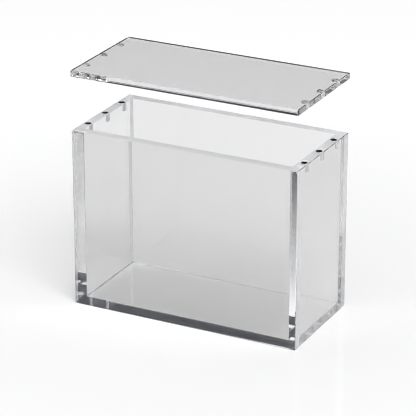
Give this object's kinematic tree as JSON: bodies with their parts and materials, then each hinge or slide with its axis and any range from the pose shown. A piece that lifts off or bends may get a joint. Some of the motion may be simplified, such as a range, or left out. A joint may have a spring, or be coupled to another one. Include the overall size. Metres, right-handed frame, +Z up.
{
  "type": "acrylic display case",
  "caption": "Clear acrylic display case of cemented sheets, open at the top, with a flat lift-off lid that small magnets hold on the rim.",
  "frame": {"origin": "middle of the underside, on the surface that the case stands on", "axes": "+X to the right along the case's width, -Y out of the front panel, +Z up"},
  "size_m": [0.15, 0.072, 0.152],
  "materials": {
    "clear_acrylic": "clear cast sheet, polished faces and edges",
    "nickel_plate": "nickel plate, slightly satin"
  },
  "bodies": {
    "case": {"front_panel": "clear_acrylic", "back_panel": "clear_acrylic", "left_wall": "clear_acrylic", "right_wall": "clear_acrylic", "base_panel": "clear_acrylic", "left_wall_magnet_1": "nickel_plate", "left_wall_magnet_2": "nickel_plate", "left_wall_magnet_3": "nickel_plate", "right_wall_magnet_1": "nickel_plate", "right_wall_magnet_2": "nickel_plate", "right_wall_magnet_3": "nickel_plate"},
    "lid": {"lid": "clear_acrylic", "lid_left_magnet_1": "nickel_plate", "lid_left_magnet_2": "nickel_plate", "lid_left_magnet_3": "nickel_plate", "lid_right_magnet_1": "nickel_plate", "lid_right_magnet_2": "nickel_plate", "lid_right_magnet_3": "nickel_plate"}
  },
  "joints": [
    {"name": "lid_lift", "type": "slide", "parent": "case", "child": "lid", "axis": [0, 0, 1], "range_m": [-0.0339, 0.086]}
  ]
}
